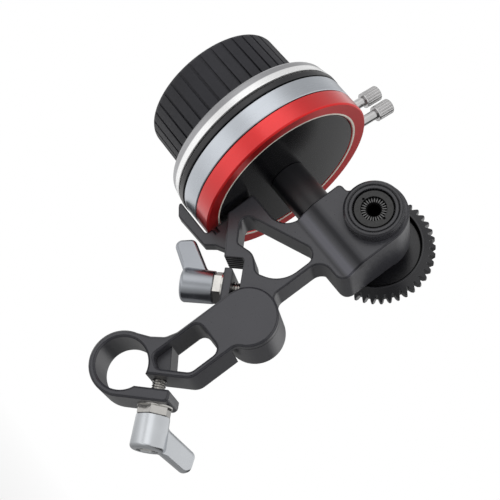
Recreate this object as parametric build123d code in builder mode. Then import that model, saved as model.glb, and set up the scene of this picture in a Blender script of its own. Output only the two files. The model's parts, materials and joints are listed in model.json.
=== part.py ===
from build123d import *

import os
from math import cos, degrees, pi, radians, sin, sqrt

# Frame: origin at the centre of the rod clamp's bore, Y along the rod, Z up.
# The hand wheel turns about X, its knob towards -X. Lengths are millimetres.

os.makedirs("parts", exist_ok=True)

# ---- driving dimensions ----------------------------------------------------
ROD_RADIUS = 7.5              # the clamp grips a 15 mm support rod
PIVOT_X, PIVOT_Z = 11.15, 35.2
WHEEL_Y, WHEEL_Z = 1.94, 70.7
MODULE = 0.8                  # of the drive gear's teeth
DRIVE_TEETH = 41
HELICAL_TEETH = 9
HELIX_ANGLE = 45
GEAR_X = 9.33
RUN = 0.03                    # radial clearance of a running fit
FACE_GAP = 0.05               # between faces that slide on each other

HELICAL_PITCH_R = MODULE * HELICAL_TEETH / cos(radians(HELIX_ANGLE)) / 2
GEAR_Z = WHEEL_Z + 2 * HELICAL_PITCH_R


# ---- helpers ---------------------------------------------------------------
def facing_front(depth):
    """Plane across the rod at a depth, its normal towards -Y and its x, y along X, Z."""
    return Plane.XZ.offset(-depth)


def on_clamp(along, across):
    """Point in X, Z by its ways along and across the rod clamp's split."""
    return (along + across) / sqrt(2), (along - across) / sqrt(2)


def on_ear(up, left):
    """Point in X, Z by its ways up to the right and up to the left."""
    return (up - left) / sqrt(2), (up + left) / sqrt(2)


def band(start, end, inner, outer):
    """Half section of a ring between two stations of its axis."""
    with Locations(((start + end) / 2, (inner + outer) / 2)):
        Rectangle(end - start, outer - inner)


def outline(*points, radius=0, mode=Mode.ADD):
    """Outline with sharp corners, or with a radius for all of them or for each."""
    with BuildLine() as perimeter:
        if radius:
            FilletPolyline(*points, radius=radius, close=True)
        else:
            Polyline(*points, close=True)
    make_face(perimeter.edges(), mode=mode)


def thread_section(start, end, radius, pitch=0.7):
    """Half section of a threaded rod, its thread drawn as V grooves."""
    turns = round((end - start) / pitch)
    pitch = (end - start) / turns
    depth = 0.5 * pitch
    points = [(start, 0), (start, radius - depth)]
    for turn in range(turns):
        points.append((start + (turn + 0.4) * pitch, radius))
        points.append((start + (turn + 0.6) * pitch, radius))
        points.append((start + (turn + 1) * pitch, radius - depth))
    outline(*points, (end, 0))


def toothed_outline(teeth, rings, first=0):
    """Gear outline: each ring is a radius and half the tooth's thickness at it."""
    points = []
    for tooth in range(teeth):
        middle = radians(first) + 2 * pi * tooth / teeth
        points += [(r * cos(middle - w / r), r * sin(middle - w / r)) for r, w in rings]
        points += [(r * cos(middle + w / r), r * sin(middle + w / r)) for r, w in rings[::-1]]
    outline(*points)


def bearing_section(start, end, inner, outer):
    """Half section of a ball bearing, its shields set back between the races."""
    race = (outer - inner) / 4
    band(start, end, inner, inner + race)
    band(start, end, outer - race, outer)
    band(start + 0.25, end - 0.25, inner + race, outer - race)


def across_wheel(station):
    """Plane across the wheel's axis, its normal along +X."""
    return Plane(origin=(station, WHEEL_Y, WHEEL_Z), x_dir=(0, 1, 0), z_dir=(1, 0, 0))


def across_spindle(depth):
    """Plane across the spindle's axis, its normal along +Y."""
    return Plane(origin=(GEAR_X, depth, GEAR_Z), x_dir=(1, 0, 0), z_dir=(0, 1, 0))


WHEEL = Plane(origin=(0, WHEEL_Y, WHEEL_Z), x_dir=(1, 0, 0), z_dir=(0, -1, 0))
WHEEL_AXIS = Axis((0, WHEEL_Y, WHEEL_Z), (1, 0, 0))
SPINDLE = Plane(origin=(GEAR_X, 0, GEAR_Z), x_dir=(0, 1, 0), z_dir=(1, 0, 0))
SPINDLE_AXIS = Axis((GEAR_X, 0, GEAR_Z), (0, 1, 0))
PIVOT = Plane(origin=(PIVOT_X, 0, PIVOT_Z), x_dir=(0, 1, 0), z_dir=(1, 0, 0))
PIVOT_AXIS = Axis((PIVOT_X, 0, PIVOT_Z), (0, 1, 0))


# ---- places of the two clamp levers ----------------------------------------
ROD_SCREW_ALONG = 9.9         # screw's way along the split, from the bore's centre
JAW_OUTER = 9.4
ROD_LEVER_TURN = 30           # degrees that its blade leans to the back
EAR_OUTER, EAR_INNER, SPLIT_EDGE = 23.6, 26.1, 28.8
EAR_SCREW_LEFT = 26.8
EAR_SCREW_Y = 1.0
THREAD_R = 2.0
THREAD_HOLE_R = THREAD_R + FACE_GAP
CLEARANCE_HOLE_R = 2.25


def lever_place(seat, outward, blade):
    """Plane of a lever: x runs outwards along its screw, y the way its blade points."""
    return Plane(origin=seat, x_dir=outward, z_dir=outward.cross(blade))


def across_lever(place, station):
    """Plane across a lever's screw, its normal outwards."""
    return Plane(place.origin + place.x_dir * station, x_dir=place.y_dir, z_dir=place.x_dir)


rod_seat_x, rod_seat_z = on_clamp(ROD_SCREW_ALONG, JAW_OUTER)
rod_blade = Vector(1, 0, 1).normalized() * cos(radians(ROD_LEVER_TURN))
rod_blade += Vector(0, 1, 0) * sin(radians(ROD_LEVER_TURN))
ROD_LEVER = lever_place(Vector(rod_seat_x, 0, rod_seat_z), Vector(1, 0, -1), rod_blade)
ear_seat_x, ear_seat_z = on_ear(EAR_OUTER, EAR_SCREW_LEFT)
EAR_SEAT = Vector(ear_seat_x, EAR_SCREW_Y, ear_seat_z)
EAR_LEVER = lever_place(EAR_SEAT, Vector(-1, 0, -1), Vector(-1, 0, 1))


# ---- rod clamp arm ---------------------------------------------------------
ARM_FRONT, ARM_BACK = -6.86, 6.86
ARM_PLATE = 2.46              # thickness of the disc that laps the pivot
ARM_CHAMFER = 0.5
CLAMP_RING_R = 9.4
PIVOT_DISC_R = 8.7
PIVOT_HUB_R = 6.0
HUB_BACK = 10.8
ARM_LOWER_EDGE, JAW_INNER = 2.2, 5.9
JAW_LENGTH = 14.9
NECK_LEFT, NECK_RIGHT = 2.45, 15.8
POCKET = ((3.6, 8.2), (7.4, 6.75), (14.2, 13.55), (14.2, 23.7), (3.6, 23.7))
POCKET_RADII = [1.6, 2.0, 3.0, 2.6, 2.4]
NUT_BLOCK_FRONT = -2.8
NUT_BLOCK_EDGE = 13.0         # distance of its slanted edge from the bore's centre
NUT_BLOCK_TURN = 50.7
NUT_THREAD_DEPTH = 13.9
ARM_RELIEF_R = 10.1           # room about the pivot for the body's collar
PIVOT_SCREW_R = 2.0
PIVOT_SCREW_DEPTH = 9.0
PIVOT_WASHER_BACK = HUB_BACK + 1.2
SCREW_HEAD = 2.6

with BuildPart() as rod_clamp_arm:
    with BuildSketch(facing_front(ARM_BACK)):
        Circle(CLAMP_RING_R)
        outline(
            (-6.5, 6.79), (-1.3, 10.6), (1.5, 13.8), (NECK_LEFT, 17.2),
            (NECK_LEFT, PIVOT_Z), (NECK_RIGHT, PIVOT_Z), on_clamp(20.14, ARM_LOWER_EDGE),
            on_clamp(4.0, ARM_LOWER_EDGE),
            radius=[0, 3.0, 3.0, 3.0, 0, 0, 4.5, 0],
        )
        outline(
            on_clamp(0, JAW_OUTER), on_clamp(JAW_LENGTH, JAW_OUTER),
            on_clamp(JAW_LENGTH, JAW_INNER), on_clamp(3.0, JAW_INNER),
            radius=[0, 1.5, 0.8, 0],
        )
        with Locations((PIVOT_X, PIVOT_Z)):
            Circle(PIVOT_DISC_R)
        fillet(vertices().sort_by_distance((NECK_RIGHT, PIVOT_Z - 7.35, 0))[0], radius=3.0)
        outline(
            on_clamp(3.0, ARM_LOWER_EDGE), on_clamp(12.0, ARM_LOWER_EDGE),
            on_clamp(12.0, JAW_INNER), on_clamp(3.0, JAW_INNER),
            mode=Mode.SUBTRACT,
        )
        Circle(ROD_RADIUS, mode=Mode.SUBTRACT)
    extrude(amount=ARM_BACK - ARM_FRONT)
    with BuildSketch(facing_front(ARM_BACK)):
        with Locations((PIVOT_X, PIVOT_Z)):
            Circle(ARM_RELIEF_R)
    extrude(amount=ARM_BACK - ARM_FRONT - ARM_PLATE, mode=Mode.SUBTRACT)
    with BuildSketch(facing_front(NUT_BLOCK_FRONT)):
        outline(*POCKET, radius=POCKET_RADII)
    extrude(amount=NUT_BLOCK_FRONT - ARM_FRONT, mode=Mode.SUBTRACT)
    with BuildSketch(facing_front(ARM_BACK)):
        outline(*POCKET, radius=POCKET_RADII)
        edge_x = (NUT_BLOCK_EDGE - 10) * cos(radians(NUT_BLOCK_TURN))
        edge_z = (NUT_BLOCK_EDGE - 10) * sin(radians(NUT_BLOCK_TURN))
        with Locations((edge_x, edge_z)):
            Rectangle(20, 40, rotation=NUT_BLOCK_TURN, mode=Mode.SUBTRACT)
    extrude(amount=ARM_BACK - NUT_BLOCK_FRONT, mode=Mode.SUBTRACT)
    chamfer(faces().filter_by(Axis.Y).sort_by(Axis.Y)[0].edges(), length=ARM_CHAMFER)
    chamfer(faces().filter_by(Axis.Y).sort_by(Axis.Y)[-1].edges(), length=ARM_CHAMFER)
    with BuildSketch(across_lever(ROD_LEVER, 0)):
        Circle(CLEARANCE_HOLE_R)
    extrude(amount=JAW_INNER - JAW_OUTER - 1, mode=Mode.SUBTRACT)
    with BuildSketch(across_lever(ROD_LEVER, 0)):
        Circle(THREAD_HOLE_R)
    extrude(amount=-NUT_THREAD_DEPTH, mode=Mode.SUBTRACT)
    with BuildSketch(PIVOT):
        band(ARM_FRONT + ARM_PLATE / 2, HUB_BACK, 0, PIVOT_HUB_R)
    revolve(axis=PIVOT_AXIS)
    with BuildSketch(PIVOT):
        band(HUB_BACK - PIVOT_SCREW_DEPTH, HUB_BACK, 0, PIVOT_SCREW_R)
    revolve(axis=PIVOT_AXIS, mode=Mode.SUBTRACT)
rod_clamp_arm.part.label = "rod_clamp_arm"

with BuildPart() as pivot_retaining_washer:
    with BuildSketch(PIVOT):
        band(HUB_BACK, PIVOT_WASHER_BACK, PIVOT_SCREW_R + 0.1, 8.2)
    revolve(axis=PIVOT_AXIS)
    chamfer(faces().sort_by(Axis.Y)[-1].edges(), length=0.3)
pivot_retaining_washer.part.label = "pivot_retaining_washer"

with BuildPart() as pivot_retaining_screw:
    with BuildSketch(PIVOT):
        band(HUB_BACK - PIVOT_SCREW_DEPTH + 0.5, PIVOT_WASHER_BACK, 0, PIVOT_SCREW_R)
        band(PIVOT_WASHER_BACK, PIVOT_WASHER_BACK + SCREW_HEAD, 0, 3.9)
    revolve(axis=PIVOT_AXIS)
    chamfer(edges().sort_by(Axis.Y)[-1], length=0.4)
    with BuildSketch(facing_front(PIVOT_WASHER_BACK + SCREW_HEAD)):
        with Locations((PIVOT_X, PIVOT_Z)):
            RegularPolygon(radius=1.5, side_count=6, major_radius=False)
    extrude(amount=1.6, mode=Mode.SUBTRACT)
pivot_retaining_screw.part.label = "pivot_retaining_screw"


# ---- clamp screws and their levers, by stations outwards from the seat -----
WASHER_END = 0.5
COLLAR_END = 2.8
BARREL_END = 12.6
BARREL_R = 4.75
SPLINE_FROM, SPLINE_TO = 4.4, 6.4
SPLINE_R = 3.0
SPLINE_TEETH = 12
SHOULDER_FROM, SHOULDER_TO = 6.6, 7.7
SPRING_FROM, SPRING_TO = 7.75, 10.85
SPRING_R, SPRING_WIRE_R = 2.2, 0.25
CAP_SCREW_R = 1.25
CAP_HEAD_FROM, CAP_HEAD_TO = 10.9, 12.3
CAP_HEAD_R = 3.0
# the blade's outline by its ways outwards along the screw and across it
BLADE = (
    (3.4, 4.25), (5.4, 4.25), (10.9, 13.7), (17.4, 12.7), (12.6, 3.4), (12.4, 2.0), (3.4, 2.0),
)
BLADE_RADII = [0, 3.0, 1.8, 2.0, 0, 0, 0]
BLADE_THICK = 3.4
BLADE_RIM_R = 1.0
BLADE_ROOT_EDGES = 8          # edges inside the barrel, left sharp


def lever_washer(place):
    """Thin washer between the screw's collar and the seat."""
    with BuildPart() as washer:
        with BuildSketch(place):
            band(0, WASHER_END, THREAD_R + 0.1, 5.0)
        revolve(axis=Axis(place.origin, place.x_dir))
    return washer


def clamp_screw(place, length):
    """Threaded stud with its hexagonal collar, its spline and a tapped end."""
    with BuildPart() as screw:
        with BuildSketch(across_lever(place, WASHER_END)):
            RegularPolygon(radius=4.2, side_count=6, major_radius=False)
        extrude(amount=COLLAR_END - WASHER_END)
        with BuildSketch(place):
            thread_section(-length, WASHER_END, THREAD_R)
            band(COLLAR_END, SPLINE_TO, 0, SPLINE_R - 0.5)
        revolve(axis=Axis(place.origin, place.x_dir))
        with BuildSketch(across_lever(place, SPLINE_FROM)):
            toothed_outline(SPLINE_TEETH, [(SPLINE_R - 0.5, 0.5), (SPLINE_R, 0.25)])
        extrude(amount=SPLINE_TO - SPLINE_FROM)
        with BuildSketch(across_lever(place, SPLINE_TO)):
            Circle(CAP_SCREW_R)
        extrude(amount=-5.5, mode=Mode.SUBTRACT)
    return screw


def lever_cap_screw(place):
    """Screw that keeps the lever on its stud, with two holes for a pin wrench."""
    with BuildPart() as screw:
        with BuildSketch(place):
            band(SPLINE_TO - 5, CAP_HEAD_FROM, 0, CAP_SCREW_R)
            band(CAP_HEAD_FROM, CAP_HEAD_TO, 0, CAP_HEAD_R - 0.1)
        revolve(axis=Axis(place.origin, place.x_dir))
        with BuildSketch(across_lever(place, CAP_HEAD_TO)):
            with PolarLocations(1.8, 2):
                Circle(0.5)
        extrude(amount=-0.8, mode=Mode.SUBTRACT)
    return screw


def lever_spring(place):
    """Spring that presses the lever down onto its spline."""
    height = SPRING_TO - SPRING_FROM - 2 * SPRING_WIRE_R
    start = place.origin + place.x_dir * (SPRING_FROM + SPRING_WIRE_R)
    with BuildPart() as spring:
        with BuildLine() as coil:
            Helix(height / 3, height, SPRING_R, center=start, direction=place.x_dir)
        with BuildSketch(Plane(coil.line @ 0, z_dir=coil.line % 0)):
            Circle(SPRING_WIRE_R)
        sweep()
    return spring


def lever_handle(place):
    """Lever: a barrel with a splined bore and the spring's room, and a slanted blade."""
    axis = Axis(place.origin, place.x_dir)
    with BuildPart() as handle:
        with BuildSketch(place.offset(-BLADE_THICK / 2)):
            outline(*BLADE, radius=BLADE_RADII)
        extrude(amount=BLADE_THICK)
        rims = faces().filter_by(Axis(place.origin, place.z_dir)).edges()
        rims = rims.sort_by(Axis(place.origin, place.y_dir))
        fillet(rims[BLADE_ROOT_EDGES:], radius=BLADE_RIM_R)
        with BuildSketch(place):
            outline(
                (COLLAR_END + 0.05, 0), (COLLAR_END + 0.05, BARREL_R),
                (BARREL_END, BARREL_R + 0.3), (BARREL_END, 0),
                radius=[0, 0.4, 1.2, 0],
            )
        revolve(axis=axis)
        with BuildSketch(place):
            band(0, SPLINE_FROM, 0, SPLINE_R + 0.4)
            band(0, SHOULDER_FROM, 0, SPLINE_R - 0.4)
            band(0, BARREL_END + 1, 0, CAP_SCREW_R + 0.2)
            band(SHOULDER_TO, BARREL_END + 1, 0, CAP_HEAD_R)
        revolve(axis=axis, mode=Mode.SUBTRACT)
        with BuildSketch(across_lever(place, SPLINE_FROM)):
            toothed_outline(SPLINE_TEETH, [(SPLINE_R - 0.5, 0.6), (SPLINE_R + 0.1, 0.34)])
        extrude(amount=SHOULDER_FROM - SPLINE_FROM, mode=Mode.SUBTRACT)
    return handle


rod_lever_washer = lever_washer(ROD_LEVER)
rod_lever_washer.part.label = "rod_lever_washer"
rod_clamp_screw = clamp_screw(ROD_LEVER, 13.0)
rod_clamp_screw.part.label = "rod_clamp_screw"
rod_lever_cap_screw = lever_cap_screw(ROD_LEVER)
rod_lever_cap_screw.part.label = "rod_lever_cap_screw"
rod_lever_spring = lever_spring(ROD_LEVER)
rod_lever_spring.part.label = "rod_lever_spring"
rod_lever = lever_handle(ROD_LEVER)
rod_lever.part.label = "rod_lever"

pivot_lever_washer = lever_washer(EAR_LEVER)
pivot_lever_washer.part.label = "pivot_lever_washer"
pivot_clamp_screw = clamp_screw(EAR_LEVER, 10.0)
pivot_clamp_screw.part.label = "pivot_clamp_screw"
pivot_lever_cap_screw = lever_cap_screw(EAR_LEVER)
pivot_lever_cap_screw.part.label = "pivot_lever_cap_screw"
pivot_lever_spring = lever_spring(EAR_LEVER)
pivot_lever_spring.part.label = "pivot_lever_spring"
pivot_lever = lever_handle(EAR_LEVER)
pivot_lever.part.label = "pivot_lever"


# ---- milled body -----------------------------------------------------------
BODY_FRONT = ARM_FRONT + ARM_PLATE + FACE_GAP
WEB_BACK = 5.6
EAR_BACK = 8.0
COLLAR_BACK = 10.7
COLLAR_R = 8.67
WEB_LEFT, WEB_RIGHT, WEB_TOP = -18.6, 9.8, 58.4
EAR_END, NOTCH_WALL = 31.4, 34.75
COLLAR_LEFT = 17.0            # the pivot's way up to the left
BOX_FRONT, BOX_BACK = -7.5, 11.4
BOX_BOTTOM, BOX_TOP = 61.6, 79.1
BOX_STEP_FROM, BOX_STEP_TO = 62.9, 68.9  # heights of the slanted lower front
BOX_EDGE = 0.35
PORT_BOSS_R = 9.7
BOX_LEFT, BOX_RIGHT = -3.94, GEAR_X + PORT_BOSS_R
INSIDE_BOX_X, INSIDE_BOX_Z = 15.5, 68.0
X_BORE_R, X_BORE_END = 6.1, 14.0
Y_BORE_R = 6.2
BEARING_R, BEARING_WIDTH = 5.0, 3.0
BEZEL_SEAT_R, BEZEL_SEAT = 8.0, -6.3
EAR_THREAD = 10.4
SET_SCREW_X = -0.5
POINTER_Y = 1.35
COVER_SCREW_CIRCLE, COVER_SCREW_DEPTH = 7.75, 3.2
WEB_WINDOW = (
    (-16.2, 52.6), (-9.2, 46.1), (-3.75, 47.75), (1.28, 44.8), (8.3, 48.6), (8.3, 62.6),
)
WEB_WINDOW_RADII = [2.4, 1.5, 4.0, 2.2, 9.0, 3.2]
# the pointer is screwed and dowelled square to the web's lower left edge
POINTER_EDGE = ((-18.6, 49.4), (-8.4, 40.74))
POINTER_NORMAL = Vector(8.66, 0, 10.2).normalized()
POINTER_DOWEL_SEAT = Vector(-16.6, POINTER_Y, 47.7)
POINTER_DOWEL_R, POINTER_DOWEL_HALF = 0.8, 1.6
POINTER_SCREW_Z = 43.8
POINTER_SCREW_FROM, POINTER_SCREW_TO = -16.85, -9.4
POINTER_SCREW_R = 1.25
# shallow grooves across the wall of the body's notch
WALL_GROOVES, WALL_GROOVE_PITCH = 6, 1.6
WALL_GROOVE_LENGTH, WALL_GROOVE_WIDTH, WALL_GROOVE_DEPTH = 7.2, 0.7, 0.3
WALL_GROOVE_UP, WALL_GROOVE_Y = 24.6, 0.65

wall_x, wall_z = on_ear(WALL_GROOVE_UP, NOTCH_WALL)
notch_wall = Plane(origin=(wall_x, WALL_GROOVE_Y, wall_z), x_dir=(1, 0, 1), z_dir=(-1, 0, 1))
POINTER_SCREW = Plane(
    origin=(POINTER_SCREW_FROM, POINTER_Y, POINTER_SCREW_Z), x_dir=(0, 1, 0), z_dir=(1, 0, 0)
)

with BuildPart() as gear_box:
    with BuildSketch(facing_front(BOX_BACK)):
        outline(
            (BOX_LEFT, BOX_BOTTOM), (BOX_LEFT, BOX_TOP), (GEAR_X, BOX_TOP), (GEAR_X, GEAR_Z),
            (BOX_RIGHT, GEAR_Z), (BOX_RIGHT, BOX_BOTTOM),
            radius=[0, 1.3, 0, 0, 0, 3.2],
        )
        with Locations((GEAR_X, GEAR_Z)):
            Circle(PORT_BOSS_R)
        fillet(vertices().sort_by_distance((BOX_LEFT + 4, BOX_TOP, 0))[0], radius=1.5)
    extrude(amount=BOX_BACK - BOX_FRONT)
    with BuildSketch(Plane(origin=(BOX_LEFT - 1, 0, 0), x_dir=(0, 1, 0), z_dir=(1, 0, 0))):
        outline(
            (BOX_FRONT, GEAR_Z + 20), (BOX_FRONT, BOX_STEP_TO), (BODY_FRONT, BOX_STEP_FROM),
            (BODY_FRONT, BOX_BOTTOM), (BOX_BACK, BOX_BOTTOM), (BOX_BACK, GEAR_Z + 20),
            radius=[0, 2.8, 0.5, 0, 1.2, 0],
        )
    extrude(amount=BOX_RIGHT - BOX_LEFT + 2, mode=Mode.INTERSECT)
    front_rim = faces().filter_by(Axis.Y).sort_by(Axis.Y)[0].edges()
    chamfer(front_rim.sort_by(Axis.Z)[1:], length=BOX_EDGE)

with BuildPart() as body_frame:
    with BuildSketch(facing_front(WEB_BACK)):
        outline(
            on_ear(EAR_OUTER, EAR_END + 1), POINTER_EDGE[1], POINTER_EDGE[0],
            (WEB_LEFT, WEB_TOP), (BOX_LEFT, WEB_TOP), (BOX_LEFT, INSIDE_BOX_Z),
            (INSIDE_BOX_X, INSIDE_BOX_Z), (INSIDE_BOX_X, BOX_BOTTOM),
            (WEB_RIGHT, BOX_BOTTOM), (WEB_RIGHT, PIVOT_Z),
            (PIVOT_X, PIVOT_Z), on_ear(26.0, 13.0), on_ear(EAR_OUTER, 19.0),
            radius=[0, 0.6, 0.9, 0.9, 6.0, 0, 0, 0, 4.0, 0, 0, 0, 4.0],
        )
        with Locations((PIVOT_X, PIVOT_Z)):
            Circle(COLLAR_R)
        fillet(vertices().sort_by_distance((WEB_RIGHT, PIVOT_Z + 8.5, 0))[0], radius=2.5)
        outline(*WEB_WINDOW, radius=WEB_WINDOW_RADII, mode=Mode.SUBTRACT)
    extrude(amount=WEB_BACK - BODY_FRONT)
    chamfer(faces().filter_by(Axis.Y).sort_by(Axis.Y)[0].edges(), length=0.35)
    with BuildSketch(facing_front(COLLAR_BACK)):
        with Locations((PIVOT_X, PIVOT_Z)):
            Circle(COLLAR_R)
    extrude(amount=COLLAR_BACK - WEB_BACK)
    with BuildSketch(facing_front(EAR_BACK)):
        outline(
            on_ear(EAR_OUTER, COLLAR_LEFT), on_ear(EAR_OUTER, EAR_END),
            on_ear(EAR_INNER + 1, EAR_END), on_ear(EAR_INNER + 1, COLLAR_LEFT),
        )
    extrude(amount=EAR_BACK - WEB_BACK)
    with BuildSketch(facing_front(COLLAR_BACK)):
        outline(
            on_ear(20, EAR_END), on_ear(EAR_INNER, EAR_END),
            on_ear(EAR_INNER, COLLAR_LEFT), on_ear(SPLIT_EDGE, COLLAR_LEFT),
            on_ear(SPLIT_EDGE, NOTCH_WALL), on_ear(20, NOTCH_WALL),
            radius=[0, 0.8, 0, 0, 0.8, 0],
        )
        with Locations((PIVOT_X, PIVOT_Z)):
            Circle(PIVOT_HUB_R + RUN)
    extrude(amount=COLLAR_BACK - BODY_FRONT, mode=Mode.SUBTRACT)
    add(gear_box.part)
    with BuildSketch(WHEEL):
        band(BOX_LEFT, X_BORE_END, 0, X_BORE_R)
        band(X_BORE_END, X_BORE_END + BEARING_WIDTH, 0, BEARING_R)
        band(X_BORE_END, X_BORE_END + BEARING_WIDTH + 0.6, 0, 3.5)
    revolve(axis=WHEEL_AXIS, mode=Mode.SUBTRACT)
    with BuildSketch(SPINDLE):
        band(BOX_FRONT, BOX_BACK, 0, Y_BORE_R)
        band(BOX_FRONT, BEZEL_SEAT, 0, BEZEL_SEAT_R)
    revolve(axis=SPINDLE_AXIS, mode=Mode.SUBTRACT)
    with BuildSketch(across_lever(EAR_LEVER, 0)):
        Circle(CLEARANCE_HOLE_R)
    extrude(amount=EAR_OUTER - EAR_INNER - 1, mode=Mode.SUBTRACT)
    with BuildSketch(across_lever(EAR_LEVER, 0)):
        Circle(THREAD_HOLE_R)
    extrude(amount=-EAR_THREAD, mode=Mode.SUBTRACT)
    with BuildSketch(facing_front(BOX_BACK)):
        with Locations((SET_SCREW_X, WHEEL_Z)):
            Circle(1.5)
    extrude(amount=5, mode=Mode.SUBTRACT)
    with BuildSketch(across_spindle(BOX_BACK)):
        with PolarLocations(COVER_SCREW_CIRCLE, 3):
            Circle(0.8)
    extrude(amount=-COVER_SCREW_DEPTH - 0.2, mode=Mode.SUBTRACT)
    with BuildSketch(POINTER_SCREW):
        Circle(POINTER_SCREW_R)
    extrude(amount=POINTER_SCREW_TO - POINTER_SCREW_FROM + 0.2, mode=Mode.SUBTRACT)
    with BuildSketch(Plane(POINTER_DOWEL_SEAT, z_dir=POINTER_NORMAL)):
        Circle(POINTER_DOWEL_R)
    extrude(amount=POINTER_DOWEL_HALF + 0.2, mode=Mode.SUBTRACT)
    with BuildSketch(notch_wall):
        with GridLocations(0, WALL_GROOVE_PITCH, 1, WALL_GROOVES):
            Rectangle(WALL_GROOVE_LENGTH, WALL_GROOVE_WIDTH)
    extrude(amount=WALL_GROOVE_DEPTH, mode=Mode.SUBTRACT)
body_frame.part.label = "body_frame"


# ---- stop pointer ----------------------------------------------------------
POINTER_FRONT, POINTER_BACK = -0.6, 3.3
FINGER_TOP, FINGER_BOTTOM = 41.0, 37.9
FINGER_TIP = -32.4
POINTER_LEFT = -18.75
POINTER_HEAD_R, POINTER_HEAD = 1.9, 1.7

with BuildPart() as stop_pointer:
    with BuildSketch(facing_front(POINTER_BACK)):
        outline(
            (FINGER_TIP, FINGER_TOP), (FINGER_TIP + 1.4, 39.6), (-28.6, FINGER_BOTTOM),
            (-16.4, 38.5), (-14.3, 41.0), (-10.9, 42.86),
            (POINTER_LEFT, 49.52), (POINTER_LEFT, FINGER_TOP),
            radius=[0.5, 0.6, 0.8, 0.5, 0.8, 0, 0, 1.2],
        )
    extrude(amount=POINTER_BACK - POINTER_FRONT)
    chamfer(faces().filter_by(Axis.Y).sort_by(Axis.Y)[0].edges(), length=0.25)
    with BuildSketch(POINTER_SCREW):
        Circle(POINTER_SCREW_R + 0.1)
    extrude(amount=POINTER_SCREW_TO - POINTER_SCREW_FROM, mode=Mode.SUBTRACT)
    with BuildSketch(POINTER_SCREW):
        Circle(POINTER_HEAD_R + 0.1)
    extrude(amount=POINTER_LEFT - POINTER_SCREW_FROM, mode=Mode.SUBTRACT)
    with BuildSketch(Plane(POINTER_DOWEL_SEAT, z_dir=POINTER_NORMAL)):
        Circle(POINTER_DOWEL_R)
    extrude(amount=-POINTER_DOWEL_HALF - 0.2, mode=Mode.SUBTRACT)
stop_pointer.part.label = "stop_pointer"

with BuildPart() as pointer_screw:
    with BuildSketch(POINTER_SCREW):
        Circle(POINTER_SCREW_R)
    extrude(amount=POINTER_SCREW_TO - POINTER_SCREW_FROM)
    with BuildSketch(POINTER_SCREW):
        Circle(POINTER_HEAD_R)
    extrude(amount=-POINTER_HEAD)
    with BuildSketch(POINTER_SCREW.offset(-POINTER_HEAD)):
        RegularPolygon(radius=1.0, side_count=6, major_radius=False)
    extrude(amount=1.1, mode=Mode.SUBTRACT)
pointer_screw.part.label = "pointer_screw"

with BuildPart() as pointer_dowel:
    with BuildSketch(Plane(POINTER_DOWEL_SEAT, z_dir=POINTER_NORMAL)):
        Circle(POINTER_DOWEL_R)
    extrude(amount=POINTER_DOWEL_HALF, both=True)
pointer_dowel.part.label = "pointer_dowel"


# ---- tube that carries the wheel's shaft -----------------------------------
DISC_FACE = -19.5
TUBE_FROM, TUBE_TO = DISC_FACE + 0.15, 2.5
TUBE_R, TUBE_BORE_R = 5.7, 3.6
SHAFT_R = 3.0

with BuildPart() as shaft_tube:
    with BuildSketch(WHEEL):
        band(TUBE_FROM, BOX_LEFT, TUBE_BORE_R, TUBE_R)
        band(BOX_LEFT, TUBE_TO, TUBE_BORE_R, X_BORE_R)
    revolve(axis=WHEEL_AXIS)
    with BuildSketch(WHEEL):
        band(TUBE_FROM, TUBE_FROM + BEARING_WIDTH, 0, BEARING_R)
    revolve(axis=WHEEL_AXIS, mode=Mode.SUBTRACT)
shaft_tube.part.label = "shaft_tube"

with BuildPart() as tube_set_screw:
    with BuildSketch(facing_front(BOX_BACK - 0.3)):
        with Locations((SET_SCREW_X, WHEEL_Z)):
            Circle(1.5)
            RegularPolygon(radius=0.75, side_count=6, major_radius=False, mode=Mode.SUBTRACT)
    extrude(amount=1.2)
    with BuildSketch(facing_front(BOX_BACK - 1.5)):
        with Locations((SET_SCREW_X, WHEEL_Z)):
            Circle(1.5)
    extrude(amount=BOX_BACK - 1.5 - WHEEL_Y - X_BORE_R)
tube_set_screw.part.label = "tube_set_screw"

with BuildPart() as tube_bearing:
    with BuildSketch(WHEEL):
        bearing_section(TUBE_FROM, TUBE_FROM + BEARING_WIDTH, SHAFT_R + RUN, BEARING_R)
    revolve(axis=WHEEL_AXIS)
tube_bearing.part.label = "tube_bearing"

with BuildPart() as end_bearing:
    with BuildSketch(WHEEL):
        bearing_section(X_BORE_END, X_BORE_END + BEARING_WIDTH, SHAFT_R + RUN, BEARING_R)
    revolve(axis=WHEEL_AXIS)
end_bearing.part.label = "end_bearing"


# ---- accessory port and the spindle's bearings -----------------------------
BEZEL_R, BEZEL_FRONT = 8.58, -11.06
FLANGE_SEAT_R = 7.5
BEZEL_INNER_R, BEZEL_INNER_EDGE, BEZEL_OUTER_EDGE = 7.05, 0.25, 0.55
PORT_RING_INNER_R, PORT_RING_R, PORT_RING_FRONT = 6.0, 6.95, -10.9
PORT_FLANGE_FRONT = -8.3
HEAD_R, HEAD_FRONT = 5.75, -10.6
JOURNAL_R, NECK_R = 4.0, 3.0
REAR_BEARING_FROM = 8.2
COVER_BACK = 13.0

with BuildPart() as port_bezel:
    with BuildSketch(SPINDLE):
        outline(
            (PORT_FLANGE_FRONT, BEZEL_INNER_R), (BEZEL_FRONT + BEZEL_INNER_EDGE, BEZEL_INNER_R),
            (BEZEL_FRONT, BEZEL_INNER_R + BEZEL_INNER_EDGE),
            (BEZEL_FRONT, BEZEL_R - BEZEL_OUTER_EDGE), (BEZEL_FRONT + BEZEL_OUTER_EDGE, BEZEL_R),
            (PORT_FLANGE_FRONT, BEZEL_R),
        )
        band(PORT_FLANGE_FRONT, BOX_FRONT, FLANGE_SEAT_R, BEZEL_R)
        band(BOX_FRONT, BEZEL_SEAT, Y_BORE_R + 0.4, BEZEL_SEAT_R - RUN)
    revolve(axis=SPINDLE_AXIS)
port_bezel.part.label = "port_bezel"

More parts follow.
